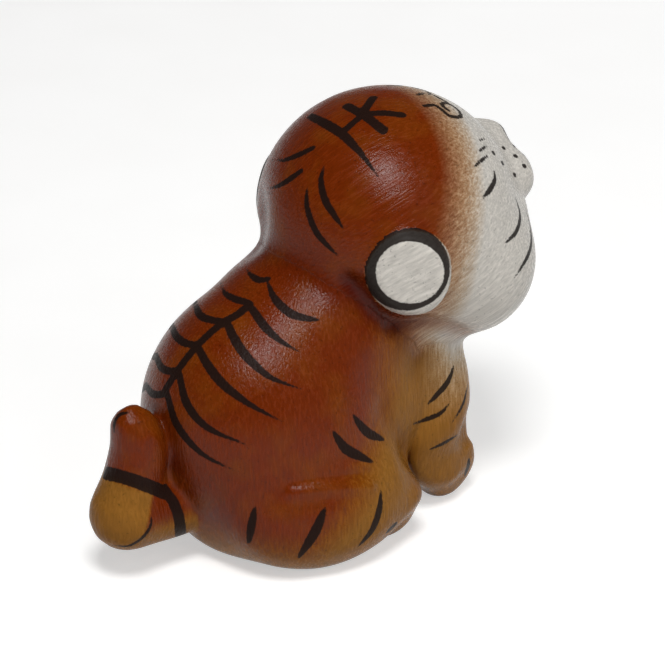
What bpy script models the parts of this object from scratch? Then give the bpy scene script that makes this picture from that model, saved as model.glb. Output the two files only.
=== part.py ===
"""Seated clay tiger, a tea pet: hollow press-moulded halves with the other pieces luted on.

Metres, +Z up.  The animal faces -Y, its right side is -X, and it sits on Z = 0.
"""
import math

import bmesh
import bpy
from mathutils import Euler, Matrix, Vector

# Clay working
GAP = 0.0003            # slip layer left between two luted pieces
WALL = 0.0036           # thickness of the pressed shells

# Half-sizes of the lumps that make up the trunk and the head
RUMP_SIZE = (0.0222, 0.0246, 0.0250)
SHOULDER_SIZE = (0.0190, 0.0185, 0.0165)
CHEST_SIZE = (0.0128, 0.0130, 0.0180)
SEAT_SIZE = (0.0212, 0.0218, 0.0096)
THIGH_SIZE = (0.0124, 0.0196, 0.0128)
KNEE_SIZE = (0.0096, 0.0098, 0.0105)
SKULL_SIZE = (0.0244, 0.0244, 0.0241)
CHEEK_SIZE = (0.0150, 0.0152, 0.0150)
BROW_SIZE = (0.0150, 0.0105, 0.0120)

# Base: an oval opening in the trunk, closed by a plate with a vent
OPENING_SIZE = (0.0112, 0.0124)
PLATE_THICK = 0.0036
VENT_RADIUS = 0.0025
NECK_BORE = 0.0050      # radius of the hole that vents the head into the trunk

# Ears and muzzle
EAR_RADIUS = 0.0080
EAR_THICK = 0.0050
EAR_EDGE = 0.0019       # rounding of the ear's rim
EAR_DISH = 0.0012       # depth of the bowl in the ear's front
EAR_YAW = math.radians(56.0)
EAR_LEAN = math.radians(3.0)
LEFT_EAR_RAISE = 0.0022 # set by hand, the left ear sits a little higher
LEFT_EAR_AHEAD = 0.0013 # and a little further forward
PAD_SIZE = (0.0058, 0.0058, 0.0054)
NOSE_SIZE = (0.0049, 0.0070, 0.0042)
CHIN_SIZE = (0.0048, 0.0046, 0.0040)

# Limbs and tail
LEG_RADIUS = 0.0084
FORE_PAW_SIZE = (0.0060, 0.0061, 0.0060)
HIND_PAW_SIZE = (0.0056, 0.0074, 0.0060)
TAIL_RADIUS = 0.0071

# Places, each in shares of the half-sizes of the lump that carries it, from that lump's middle
RUMP_Y = 0.0052         # the one place that is a length: the rump's middle behind the origin
RUMP_SINK = 0.98        # height of the rump's middle over the floor
SHOULDER_ON_RUMP = (0.0, -0.423, 0.620)
CHEST_ON_RUMP = (0.0, -0.882, 0.020)
SEAT_ON_RUMP = (0.0, -0.089, -0.716)
THIGH_ON_RUMP = (-0.631, -0.085, -0.530)
KNEE_ON_THIGH = (0.120, -0.780, 0.340)
HEAD_ON_SHOULDERS = (0.0, -0.854, 1.006)
CHEEK_ON_SKULL = (-0.377, -0.385, -0.320)
BROW_ON_SKULL = (0.0, -0.410, 0.307)
EAR_ON_SKULL = (-0.846, 0.418, -0.075)
PAD_ON_SKULL = (0.0, -0.951, 0.174)
NOSE_ON_SKULL = (0.0, -0.860, 0.395)
CHIN_ON_SKULL = (0.0, -0.926, -0.087)
FORE_PAW_ON_CHEST = (-0.550, -0.920, 0.0)
HIND_PAW_ON_THIGH = (0.040, -0.660, 0.0)
PAD_MEET = 0.90         # a pad's middle beside the middle plane, in shares of its half-width
PAW_LIFT = 0.90         # height of a paw's middle, in shares of its half-height
VENT_ON_PLATE = 0.62    # the vent lies towards the tail

# Paths of the rolled pieces: the place on the carrying lump, then the share of the full thickness
LEG_ON_CHEST = (((-0.578, 0.115, 0.667), 0.833), ((-0.578, -0.520, 0.389), 1.000),
                ((-0.578, -0.690, 0.000), 0.988), ((-0.578, -0.810, -0.389), 0.917))
LEG_BACK_ON_CHEST = (0.0, -0.160, 0.0)    # behind this the leg is trimmed off flat
LEG_ON_PAW = (((0.0, -0.080, 0.900), 0.750), ((0.0, 0.0, 0.040), 0.524))
TAIL_ELBOW_ON_RUMP = (0.0, 1.252, -0.484)
TAIL_ROOT_ON_RUMP = (((0.0, 0.520, -0.492), 0.930), ((0.0, 0.947, -0.525), 0.901),
                     (TAIL_ELBOW_ON_RUMP, 0.960))
TAIL_TIP_ON_RUMP = ((TAIL_ELBOW_ON_RUMP, 0.960), ((0.0, 1.191, -0.212), 0.775),
                    ((0.0, 1.122, 0.020), 0.790), ((0.0, 1.205, 0.220), 0.620),
                    ((0.0, 1.285, 0.330), 0.250))

# Fineness of the fused forms
BODY_VOXEL = 0.0031
HEAD_VOXEL = 0.0031
TAIL_VOXEL = 0.0022
LEG_VOXEL = 0.0028
CAVITY_VOXEL = 0.0044
FAR = 0.2               # reach of the cutting blocks
SLIVER = 0.00005        # edges shorter than this are closed up


def on(middle, size, shares):
    """The place that lies at the given shares of a lump's half-sizes from its middle."""
    return tuple(m + half * share for m, half, share in zip(middle, size, shares))


def on_floor(place, half_height):
    """The same place, at the height where a paw of that half-height stands on the floor."""
    return (place[0], place[1], PAW_LIFT * half_height)


def start_empty():
    for item in list(bpy.data.objects):
        bpy.data.objects.remove(item)


def collection(name, hidden):
    made = bpy.data.collections.new(name)
    bpy.context.scene.collection.children.link(made)
    made.hide_render = hidden
    return made


def add(mesh, name, where):
    made = bpy.data.objects.new(name, mesh)
    where.objects.link(made)
    if where is FORMS:
        made.hide_render = True
        made.display_type = 'WIRE'
    return made


def settled(source, name, where):
    """A new object holding the shape of source with its modifiers worked in."""
    graph = bpy.context.evaluated_depsgraph_get()
    return add(bpy.data.meshes.new_from_object(source.evaluated_get(graph)), name, where)


def ball(name, at, size, where, across=24, rings=14, turn=(0.0, 0.0, 0.0)):
    """An egg-shaped ball of clay with the three half-sizes given."""
    mesh = bpy.data.meshes.new(name)
    shape = bmesh.new()
    place = Matrix.LocRotScale(Vector(at), Euler(turn), Vector(size))
    bmesh.ops.create_uvsphere(shape, u_segments=across, v_segments=rings, radius=1.0, matrix=place)
    shape.to_mesh(mesh)
    shape.free()
    return add(mesh, name, where)


def block(name, low, high):
    """A box between two corners, used for cutting."""
    mesh = bpy.data.meshes.new(name)
    shape = bmesh.new()
    size = [b - a for a, b in zip(low, high)]
    middle = [(a + b) / 2 for a, b in zip(low, high)]
    place = Matrix.LocRotScale(Vector(middle), None, Vector(size))
    bmesh.ops.create_cube(shape, size=1.0, matrix=place)
    shape.to_mesh(mesh)
    shape.free()
    return add(mesh, name, FORMS)


def column(name, at, radii, low, high, where, sides=40):
    """An upright oval column from height low to height high."""
    mesh = bpy.data.meshes.new(name)
    shape = bmesh.new()
    place = Matrix.LocRotScale(Vector((at[0], at[1], (low + high) / 2)), None,
                               Vector((radii[0], radii[1], high - low)))
    bmesh.ops.create_cone(shape, cap_ends=True, segments=sides, radius1=1.0, radius2=1.0,
                          depth=1.0, matrix=place)
    shape.to_mesh(mesh)
    shape.free()
    return add(mesh, name, where)


def disc(name, at, radius, thick, edge, turn):
    """A round disc standing upright, its faces towards front and back before it is turned."""
    mesh = bpy.data.meshes.new(name)
    shape = bmesh.new()
    stand = Matrix.Rotation(math.radians(90.0), 4, 'X')
    place = Matrix.LocRotScale(Vector(at), Euler(turn), None) @ stand
    bmesh.ops.create_cone(shape, cap_ends=True, segments=32, radius1=radius, radius2=radius,
                          depth=thick, matrix=place)
    shape.to_mesh(mesh)
    shape.free()
    made = add(mesh, name, PIECES)
    rounding = made.modifiers.new('rim', 'BEVEL')
    rounding.width = edge
    rounding.segments = 3
    rounding.limit_method = 'ANGLE'
    return made


def route(middle, size, stations):
    """The stations of a roll that are given in shares of one lump's half-sizes."""
    return [(on(middle, size, shares), thickness) for shares, thickness in stations]


def roll(name, stations, radius):
    """A roll of clay with closed ends, through stations of place and share of the full thickness."""
    curve = bpy.data.curves.new(name, 'CURVE')
    curve.dimensions = '3D'
    curve.resolution_u = 4
    curve.bevel_depth = 1.0
    curve.bevel_resolution = 3
    curve.use_fill_caps = True
    line = curve.splines.new('BEZIER')
    line.bezier_points.add(len(stations) - 1)
    for knot, (place, thickness) in zip(line.bezier_points, stations):
        knot.co = place
        knot.radius = radius * thickness
        knot.handle_left_type = 'AUTO'
        knot.handle_right_type = 'AUTO'
    path = bpy.data.objects.new(name + '_path', curve)
    FORMS.objects.link(path)
    made = settled(path, name, FORMS)
    bpy.data.objects.remove(path)
    shape = bmesh.new()
    shape.from_mesh(made.data)
    bmesh.ops.remove_doubles(shape, verts=shape.verts, dist=0.00001)
    bmesh.ops.recalc_face_normals(shape, faces=shape.faces)
    shape.to_mesh(made.data)
    shape.free()
    return made


def fused(name, lumps, voxel, rounds):
    """One form from overlapping lumps of clay, pressed together and smoothed over."""
    shape = bmesh.new()
    for lump in lumps:
        shape.from_mesh(lump.data)
        bpy.data.objects.remove(lump)
    mesh = bpy.data.meshes.new(name)
    shape.to_mesh(mesh)
    shape.free()
    rough = add(mesh, name + '_rough', FORMS)
    weld = rough.modifiers.new('weld', 'REMESH')
    weld.mode = 'VOXEL'
    weld.voxel_size = voxel
    soft = rough.modifiers.new('soften', 'SMOOTH')
    soft.factor = 0.5
    soft.iterations = rounds
    form = settled(rough, name, FORMS)
    bpy.data.objects.remove(rough)
    return form


def grown(source, name, by=GAP):
    """A copy of source swollen by a small amount, to cut a seat for it."""
    copy = settled(source, name, FORMS)
    swell = copy.modifiers.new('swell', 'DISPLACE')
    swell.strength = by
    swell.mid_level = 0.0
    return copy


def cut(target, cutter, solver='EXACT'):
    step = target.modifiers.new('cut_' + cutter.name, 'BOOLEAN')
    step.operation = 'DIFFERENCE'
    step.solver = solver
    step.object = cutter


def mirrored(source, name):
    """The other side's piece: source reflected in the animal's middle plane."""
    made = settled(source, name, PIECES)
    made.data.transform(Matrix.Scale(-1.0, 4, Vector((1.0, 0.0, 0.0))))
    made.data.flip_normals()
    return made


def left(point):
    """A place on the right side, moved to the left side."""
    return (-point[0], point[1], point[2])


def shrunk(size):
    return tuple(half - WALL for half in size)


def clay(name, colour, roughness):
    made = bpy.data.materials.new(name)
    made.use_nodes = True
    shader = made.node_tree.nodes['Principled BSDF']
    shader.inputs['Base Color'].default_value = (*colour, 1.0)
    shader.inputs['Roughness'].default_value = roughness
    shader.inputs['Metallic'].default_value = 0.0
    return made


def finish(piece, material):
    """Closes the slivers that the cuts left at creases, and gives the piece its clay."""
    press = piece.modifiers.new('slivers', 'WELD')
    press.merge_threshold = SLIVER
    piece.data.materials.clear()
    piece.data.materials.append(material)


start_empty()
PIECES = collection('clay_tiger', False)
FORMS = collection('cutters', True)

RED_BROWN = clay('red_brown_clay', (0.17, 0.033, 0.004), 0.42)
OCHRE = clay('ochre_clay', (0.20, 0.10, 0.026), 0.5)
WHITE = clay('white_slip_clay', (0.58, 0.56, 0.52), 0.55)
BARE = clay('bare_clay', (0.33, 0.17, 0.08), 0.8)

floor = block('floor_cut', (-FAR, -FAR, -FAR), (FAR, FAR, 0.0))
other_side = block('middle_cut', (-GAP / 2, -FAR, -FAR), (FAR, FAR, FAR))

# Where each lump lies
rump_at = (0.0, RUMP_Y, RUMP_SINK * RUMP_SIZE[2])
shoulder_at = on(rump_at, RUMP_SIZE, SHOULDER_ON_RUMP)
chest_at = on(rump_at, RUMP_SIZE, CHEST_ON_RUMP)
seat_at = on(rump_at, RUMP_SIZE, SEAT_ON_RUMP)
thigh_at = on(rump_at, RUMP_SIZE, THIGH_ON_RUMP)
knee_at = on(thigh_at, THIGH_SIZE, KNEE_ON_THIGH)
head_at = on(shoulder_at, SHOULDER_SIZE, HEAD_ON_SHOULDERS)
cheek_at = on(head_at, SKULL_SIZE, CHEEK_ON_SKULL)
brow_at = on(head_at, SKULL_SIZE, BROW_ON_SKULL)

# The two forms that are pressed hollow
head_form = fused('head_form', (
    ball('skull', head_at, SKULL_SIZE, FORMS, 32, 20),
    ball('cheek_r', cheek_at, CHEEK_SIZE, FORMS, 32, 20),
    ball('cheek_l', left(cheek_at), CHEEK_SIZE, FORMS, 32, 20),
    ball('brow', brow_at, BROW_SIZE, FORMS, 32, 20)), HEAD_VOXEL, 6)
body_form = fused('body_form', (
    ball('rump', rump_at, RUMP_SIZE, FORMS, 32, 20),
    ball('shoulders', shoulder_at, SHOULDER_SIZE, FORMS, 32, 20),
    ball('chest', chest_at, CHEST_SIZE, FORMS, 32, 20),
    ball('seat', seat_at, SEAT_SIZE, FORMS, 32, 20),
    ball('thigh_r', thigh_at, THIGH_SIZE, FORMS, 32, 20),
    ball('thigh_l', left(thigh_at), THIGH_SIZE, FORMS, 32, 20),
    ball('knee_r', knee_at, KNEE_SIZE, FORMS, 32, 20),
    ball('knee_l', left(knee_at), KNEE_SIZE, FORMS, 32, 20)), BODY_VOXEL, 8)
head_seat = grown(head_form, 'head_seat')
body_seat = grown(body_form, 'body_seat')

head_hollow = ball('head_hollow', head_at, shrunk(SKULL_SIZE), FORMS)
trunk_hollow = fused('trunk_hollow', (
    ball('rump_hollow', rump_at, shrunk(RUMP_SIZE), FORMS, 32, 20),
    ball('shoulder_hollow', shoulder_at, shrunk(SHOULDER_SIZE), FORMS, 32, 20)), CAVITY_VOXEL, 4)
opening = column('base_opening', seat_at, OPENING_SIZE, -WALL, rump_at[2] / 2, FORMS)
neck_bore = column('neck_bore', head_at, (NECK_BORE, NECK_BORE), head_at[2] - 2 * SKULL_SIZE[2],
                   head_at[2], FORMS, 24)

head_right = settled(head_form, 'head_right_half', PIECES)
for cutter in (head_hollow, neck_bore, other_side):
    cut(head_right, cutter)
finish(head_right, RED_BROWN)
mirrored(head_right, 'head_left_half')

body_right = settled(body_form, 'body_right_half', PIECES)
for cutter in (floor, trunk_hollow, opening, head_seat, other_side):
    cut(body_right, cutter)
finish(body_right, RED_BROWN)
mirrored(body_right, 'body_left_half')

# Plate closing the base, with the vent that lets steam out in the kiln
plate_size = [half - GAP for half in OPENING_SIZE]
plate = column('base_plate', seat_at, plate_size, 0.0, PLATE_THICK, PIECES)
vent_at = (seat_at[0], seat_at[1] + VENT_ON_PLATE * plate_size[1])
vent = column('vent', vent_at, (VENT_RADIUS, VENT_RADIUS), -WALL, PLATE_THICK + WALL, FORMS, 24)
cut(plate, vent)
finish(plate, BARE)

# Paws and forelegs, each leg standing on its paw
fore_paw_at = on_floor(on(chest_at, CHEST_SIZE, FORE_PAW_ON_CHEST), FORE_PAW_SIZE[2])
fore_paw = ball('fore_paw_right', fore_paw_at, FORE_PAW_SIZE, PIECES, 20, 12)
paw_seat = grown(fore_paw, 'paw_seat')
for cutter in (body_seat, floor, other_side):
    cut(fore_paw, cutter)
finish(fore_paw, OCHRE)
mirrored(fore_paw, 'fore_paw_left')

leg_way = route(chest_at, CHEST_SIZE, LEG_ON_CHEST) + route(fore_paw_at, FORE_PAW_SIZE, LEG_ON_PAW)
leg_roll = roll('leg_roll', leg_way, LEG_RADIUS)
leg_back = block('leg_back', (-FAR, on(chest_at, CHEST_SIZE, LEG_BACK_ON_CHEST)[1], -FAR), (FAR, FAR, FAR))
leg = settled(fused('leg_form', (leg_roll,), LEG_VOXEL, 3), 'foreleg_right', PIECES)
for cutter in (leg_back, other_side, paw_seat, head_seat, body_seat):
    cut(leg, cutter, 'MANIFOLD')    # the exact solver loses the leg at some sizes
finish(leg, OCHRE)
mirrored(leg, 'foreleg_left')

hind_paw_at = on_floor(on(thigh_at, THIGH_SIZE, HIND_PAW_ON_THIGH), HIND_PAW_SIZE[2])
hind_paw = ball('hind_paw_right', hind_paw_at, HIND_PAW_SIZE, PIECES, 20, 12)
for cutter in (body_seat, floor):
    cut(hind_paw, cutter)
finish(hind_paw, OCHRE)
mirrored(hind_paw, 'hind_paw_left')

# Tail: a root lying level, an elbow, and the end turned up
tail_form = fused('tail_form', (
    roll('tail_root', route(rump_at, RUMP_SIZE, TAIL_ROOT_ON_RUMP), TAIL_RADIUS),
    ball('tail_elbow', on(rump_at, RUMP_SIZE, TAIL_ELBOW_ON_RUMP), (TAIL_RADIUS,) * 3, FORMS),
    roll('tail_tip', route(rump_at, RUMP_SIZE, TAIL_TIP_ON_RUMP), TAIL_RADIUS)), TAIL_VOXEL, 3)
tail = settled(tail_form, 'tail', PIECES)
cut(tail, body_seat)
finish(tail, RED_BROWN)

# Ears: thick discs, rounded at the rim and a little hollow in front
bowl_mouth = EAR_RADIUS - EAR_EDGE
bowl_radius = (bowl_mouth ** 2 + EAR_DISH ** 2) / (2 * EAR_DISH)
right_ear_at = on(head_at, SKULL_SIZE, EAR_ON_SKULL)
left_ear_at = (-right_ear_at[0], right_ear_at[1] - LEFT_EAR_AHEAD, right_ear_at[2] + LEFT_EAR_RAISE)
for name, ear_at, yaw in (('ear_right', right_ear_at, EAR_YAW), ('ear_left', left_ear_at, -EAR_YAW)):
    ear_turn = Euler((EAR_LEAN, 0.0, yaw))
    ear = disc(name, ear_at, EAR_RADIUS, EAR_THICK, EAR_EDGE, ear_turn)
    bowl_way = Vector((0.0, EAR_DISH - EAR_THICK / 2 - bowl_radius, 0.0))
    bowl_way.rotate(ear_turn)
    bowl = ball(name + '_bowl', Vector(ear_at) + bowl_way, (bowl_radius,) * 3, FORMS, 64, 40)
    for cutter in (bowl, head_seat, body_seat):
        cut(ear, cutter)
    finish(ear, WHITE)

# Muzzle
pad_middle = on(head_at, SKULL_SIZE, PAD_ON_SKULL)
pad_at = (-PAD_MEET * PAD_SIZE[0], pad_middle[1], pad_middle[2])
pad = ball('whisker_pad_right', pad_at, PAD_SIZE, PIECES, 20, 12)
pad_seat = grown(pad, 'pad_seat')
pad_seat_left = ball('pad_seat_left', left(pad_at), [half + GAP for half in PAD_SIZE], FORMS, 20, 12)
for cutter in (head_seat, other_side):
    cut(pad, cutter)
finish(pad, WHITE)
mirrored(pad, 'whisker_pad_left')
for name, place, size in (('nose', NOSE_ON_SKULL, NOSE_SIZE), ('chin', CHIN_ON_SKULL, CHIN_SIZE)):
    lump = ball(name, on(head_at, SKULL_SIZE, place), size, PIECES, 20, 12)
    for cutter in (head_seat, pad_seat, pad_seat_left):
        cut(lump, cutter)
    finish(lump, WHITE)
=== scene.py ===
"""Looks of the seated clay tiger, a tea pet: sponged clay skin, sprayed colours, brushed stripes.

Metres, +Z up.  The animal faces -Y and its right side is -X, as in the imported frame.
Places on the photograph are in its pixels, from the top left, on a frame 665 pixels wide.
"""
import math

import bmesh
import bpy
import numpy as np
from mathutils import Matrix, Vector
from mathutils.bvhtree import BVHTree


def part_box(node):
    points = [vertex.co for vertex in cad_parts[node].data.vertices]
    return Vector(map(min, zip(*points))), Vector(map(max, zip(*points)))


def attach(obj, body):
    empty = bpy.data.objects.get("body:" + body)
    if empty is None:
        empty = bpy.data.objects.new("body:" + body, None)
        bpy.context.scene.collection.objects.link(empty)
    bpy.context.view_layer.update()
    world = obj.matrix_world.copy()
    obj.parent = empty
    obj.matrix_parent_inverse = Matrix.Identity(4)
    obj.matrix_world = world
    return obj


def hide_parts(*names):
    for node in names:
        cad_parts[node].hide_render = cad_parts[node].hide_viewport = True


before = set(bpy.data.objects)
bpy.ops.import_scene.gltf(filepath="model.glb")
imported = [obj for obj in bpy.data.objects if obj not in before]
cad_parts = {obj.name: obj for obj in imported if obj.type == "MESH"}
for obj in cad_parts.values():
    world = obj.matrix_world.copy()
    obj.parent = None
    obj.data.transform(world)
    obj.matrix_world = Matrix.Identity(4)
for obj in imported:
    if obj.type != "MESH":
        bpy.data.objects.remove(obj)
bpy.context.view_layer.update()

MM = 0.001

# The photograph's camera
PHOTO_SIZE = 665
PHOTO_FOCAL = 2600.0            # in pixels of the photograph
SENSOR = 36.0
CAMERA_AZIMUTH = math.radians(235.0)
CAMERA_ELEVATION = math.radians(24.5)
CAMERA_DISTANCE = 0.480
CAMERA_TARGET = Vector((0.0, -0.009, 0.036))
MM_PER_PIXEL = CAMERA_DISTANCE / PHOTO_FOCAL / MM

# Luted pieces: which CAD nodes each visible piece stands for, and the finish it takes
PIECES = {
    'head': (('head_left_half', 'head_right_half'), 'red_brown_clay'),
    'trunk': (('body_left_half', 'body_right_half'), 'red_brown_clay'),
    'tail': (('tail',), 'red_brown_clay'),
    'nose': (('nose',), 'white_slip_clay'),
    'chin': (('chin',), 'white_slip_clay'),
}
for side in ('left', 'right'):
    PIECES['ear_' + side] = (('ear_' + side,), 'white_slip_clay')
    PIECES['whisker_pad_' + side] = (('whisker_pad_' + side,), 'white_slip_clay')
    PIECES['foreleg_' + side] = (('foreleg_' + side,), 'ochre_clay')
    PIECES['fore_paw_' + side] = (('fore_paw_' + side,), 'ochre_clay')
    PIECES['hind_paw_' + side] = (('hind_paw_' + side,), 'ochre_clay')

# Sponging of the joints: how far from the joint the clay is worked, and how many passes
SWELL = 0.00022                 # closes the 0.3 mm slip gaps
SKIN_STEP = 0.00045             # spacing of the skin's points
WIDE, MIDDLE, NARROW = 0.0100, 0.0050, 0.0024
PASSES = {WIDE: 300, MIDDLE: 90, NARROW: 16}
SPONGED = {
    ('head', 'trunk'): WIDE,
    ('trunk', 'foreleg'): WIDE,
    ('trunk', 'hind_paw'): MIDDLE,
    ('trunk', 'tail'): NARROW,
    ('trunk', 'fore_paw'): NARROW,
    ('head', 'foreleg'): WIDE,
    ('head', 'ear'): NARROW,
    ('head', 'whisker_pad'): MIDDLE,
    ('head', 'nose'): WIDE,
    ('head', 'chin'): MIDDLE,
    ('foreleg', 'fore_paw'): MIDDLE,
    ('foreleg', 'foreleg'): NARROW,
    ('whisker_pad', 'whisker_pad'): NARROW,
    ('whisker_pad', 'nose'): MIDDLE,
    ('whisker_pad', 'chin'): NARROW,
}
FULL_SHARE = 0.15               # this share of the reach is sponged in full, then less and less
# Rubbing down of each piece before the joints are sponged, in passes
RUBBED = {'head': 60, 'trunk': 60}
RUBBED_ELSEWHERE = 10
RUB_FACTOR, RUB_LEAST = 0.5, 0.001
WELD = 1e-6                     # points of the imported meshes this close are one


def kind(name):
    """The piece's name without its side."""
    return name.replace('_left', '').replace('_right', '')


def joint_reach(one, other):
    """How far from the joint of two pieces the clay is sponged, or nothing."""
    pair = (kind(one), kind(other))
    return SPONGED.get(pair) or SPONGED.get(pair[::-1]) or 0.0


def smoothstep(low, high, value):
    """A soft rise from 0 to 1 between two values."""
    t = np.clip((value - low) / (high - low), 0.0, 1.0)
    return t * t * (3.0 - 2.0 * t)


def camera_axes():
    """The photograph camera's right, up and backward directions."""
    a, e = CAMERA_AZIMUTH, CAMERA_ELEVATION
    back = Vector((math.sin(a) * math.cos(e), -math.cos(a) * math.cos(e), math.sin(e)))
    right = Vector((math.cos(a), math.sin(a), 0.0))
    return right, back.cross(right), back


RIGHT, UP, BACK = camera_axes()
EYE = CAMERA_TARGET + BACK * CAMERA_DISTANCE


def place_camera():
    """Sets up the camera as it stood for the photograph."""
    data = bpy.data.cameras.new('photo_camera')
    data.sensor_width = SENSOR
    data.lens = SENSOR * PHOTO_FOCAL / PHOTO_SIZE
    data.clip_start = 0.01
    made = bpy.data.objects.new('photo_camera', data)
    turn = Matrix((RIGHT, UP, BACK)).transposed().to_4x4()
    made.matrix_world = Matrix.Translation(EYE) @ turn
    bpy.context.scene.collection.objects.link(made)
    bpy.context.scene.camera = made


def sight(pixel):
    """The direction in which the photograph's camera sees a pixel."""
    across, down = pixel[0] - PHOTO_SIZE / 2, pixel[1] - PHOTO_SIZE / 2
    return (RIGHT * across - UP * down - BACK * PHOTO_FOCAL).normalized()


def pixels(co):
    """Where the photograph's camera sees some points."""
    rel = co - np.array(EYE)
    away = -(rel @ np.array(BACK))
    across = PHOTO_SIZE / 2 + PHOTO_FOCAL * (rel @ np.array(RIGHT)) / away
    down = PHOTO_SIZE / 2 - PHOTO_FOCAL * (rel @ np.array(UP)) / away
    return np.stack((across, down), axis=1)


def link(mesh, name):
    """Puts a mesh into the scene as an object."""
    made = bpy.data.objects.new(name, mesh)
    bpy.context.scene.collection.objects.link(made)
    return made


def welded(nodes):
    """One mesh of some CAD nodes, with the points that the file split joined up again."""
    shape = bmesh.new()
    for node_name in nodes:
        shape.from_mesh(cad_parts[node_name].data)
    bmesh.ops.remove_doubles(shape, verts=shape.verts, dist=WELD)
    bmesh.ops.recalc_face_normals(shape, faces=shape.faces)
    return shape


VENT_WELL = 0.0026              # radius of the blind hole behind the plate's vent
WELL_DEPTH = 0.0080
PLUG_LAP = 0.0015               # the plug reaches this far past the plate's edge
PLUG_CROWN = 0.0030             # clay above the blind hole
PLUG_SIDES = 48
SLIP_GAP = 0.0003


def plug_base(shape):
    """Fills the trunk behind the base plate, so that the skin has no inside.

    The vent stays a blind hole.
    """
    low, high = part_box('base_plate')
    middle = (low + high) / 2
    half = (high - low) / 2
    ring = [2 * math.pi * step / PLUG_SIDES for step in range(PLUG_SIDES)]
    floor_z, top_z = high.z + SLIP_GAP, high.z + WELL_DEPTH + PLUG_CROWN
    wide = (half.x + PLUG_LAP, half.y + PLUG_LAP)
    well = (VENT_WELL, VENT_WELL)
    rows = []
    for (x, y), z in ((wide, top_z), (wide, floor_z), (well, floor_z), (well, floor_z + WELL_DEPTH)):
        rows.append([shape.verts.new((middle.x + x * math.cos(a), middle.y + y * math.sin(a), z))
                     for a in ring])
    for upper, lower in zip(rows, rows[1:]):
        for step in range(PLUG_SIDES):
            after = (step + 1) % PLUG_SIDES
            shape.faces.new((upper[step], lower[step], lower[after], upper[after]))
    shape.faces.new(rows[0])
    shape.faces.new(rows[-1][::-1])


def pressed_together():
    """All luted pieces as one skin of evenly spaced points."""
    shape = bmesh.new()
    for name, (nodes, _) in PIECES.items():
        lump = welded(nodes)
        lump.normal_update()
        for vert in lump.verts:
            vert.co += vert.normal * SWELL
        mesh = bpy.data.meshes.new(name + '_lump')
        lump.to_mesh(mesh)
        lump.free()
        shape.from_mesh(mesh)
        bpy.data.meshes.remove(mesh)
    plug_base(shape)
    mesh = bpy.data.meshes.new('skin')
    shape.to_mesh(mesh)
    shape.free()
    skin = link(mesh, 'skin')
    press = skin.modifiers.new('press', 'REMESH')
    press.mode = 'VOXEL'
    press.voxel_size = SKIN_STEP
    return settle(skin)


def settle(piece):
    """Works the piece's modifiers into its mesh."""
    graph = bpy.context.evaluated_depsgraph_get()
    mesh = bpy.data.meshes.new_from_object(piece.evaluated_get(graph))
    piece.modifiers.clear()
    old = piece.data
    piece.data = mesh
    bpy.data.meshes.remove(old)
    return piece


def points(mesh):
    """The mesh's points, one a row."""
    co = np.empty(len(mesh.vertices) * 3)
    mesh.vertices.foreach_get('co', co)
    return co.reshape(-1, 3)


def normals(mesh):
    """The way the mesh faces at each point."""
    way = np.empty(len(mesh.vertices) * 3)
    mesh.vertex_normals.foreach_get('vector', way)
    return way.reshape(-1, 3)


def closeness(skin):
    """For each piece, every skin point's distance to it, up to the widest joint's reach."""
    co = points(skin.data)
    far = WIDE * 1.01
    table = {}
    for name, (nodes, _) in PIECES.items():
        lump = welded(nodes)
        tree = BVHTree.FromBMesh(lump)
        lump.free()
        reach = np.full(len(co), far)
        for index, point in enumerate(co):
            hit = tree.find_nearest(point, far)
            if hit[0] is not None:
                reach[index] = hit[3]
        table[name] = reach
    return table


def rub(skin, weight, passes):
    """Smooths the skin where the weight says so."""
    group = skin.vertex_groups.new(name='rubbed')
    for index in np.nonzero(weight > RUB_LEAST)[0]:
        group.add([int(index)], float(weight[index]), 'REPLACE')
    soft = skin.modifiers.new('rub', 'SMOOTH')
    soft.factor = RUB_FACTOR
    soft.iterations = passes
    soft.vertex_group = 'rubbed'
    settle(skin)
    skin.vertex_groups.clear()


def sponge(skin, near):
    """Takes the facets off each piece, then works the clay over each joint."""
    names = list(near)
    owner = np.argmin(np.stack([near[name] for name in names]), axis=0)
    plain = np.array([RUBBED.get(name, RUBBED_ELSEWHERE) for name in names])[owner]
    rub(skin, plain / max(RUBBED.values()), max(RUBBED.values()))
    for reach in (WIDE, MIDDLE, NARROW):
        weight = np.zeros(len(skin.data.vertices))
        for one in names:
            for other in names:
                if one < other and joint_reach(one, other) == reach:
                    apart = np.maximum(near[one], near[other])
                    weight = np.maximum(weight, 1.0 - smoothstep(FULL_SHARE * reach, reach, apart))
        rub(skin, weight, PASSES[reach])
    return names, owner


place_camera()
skin = pressed_together()
near = closeness(skin)
names, owner = sponge(skin, near)
co = points(skin.data)


def piece_mask(*kinds):
    """Which points belong to some kinds of pieces."""
    return np.isin(owner, [index for index, name in enumerate(names) if kind(name) in kinds])


PIXEL_STEP, FACE_STEP = 2.0, 0.4    # between the points of a line, in pixels and in mm
IN_FRONT = -0.2                     # Y from which the front is looked at


def curve(stops, step):
    """A smooth line through some stops, in even steps."""
    stops = np.array(stops, float)
    ends = np.vstack((2 * stops[0] - stops[1], stops, 2 * stops[-1] - stops[-2]))
    line = []
    for a, b, c, d in zip(ends, ends[1:], ends[2:], ends[3:]):
        count = max(2, int(np.linalg.norm(c - b) / step))
        t = (np.arange(count) / count)[:, None]
        line.append(0.5 * (2 * b + (c - a) * t + (2 * a - 5 * b + 4 * c - d) * t ** 2
                           + (3 * b - a - 3 * c + d) * t ** 3))
    return np.vstack(line + [stops[-1:]])


def look_up():
    """The skin as it is now, for finding places on it."""
    return BVHTree.FromObject(skin, bpy.context.evaluated_depsgraph_get())


def seen(surface, stops):
    """A line of photograph pixels, laid on the clay that the camera sees there."""
    hits = [surface.ray_cast(EYE, sight(pixel))[0] for pixel in curve(stops, PIXEL_STEP)]
    return np.array([hit for hit in hits if hit is not None])


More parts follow.
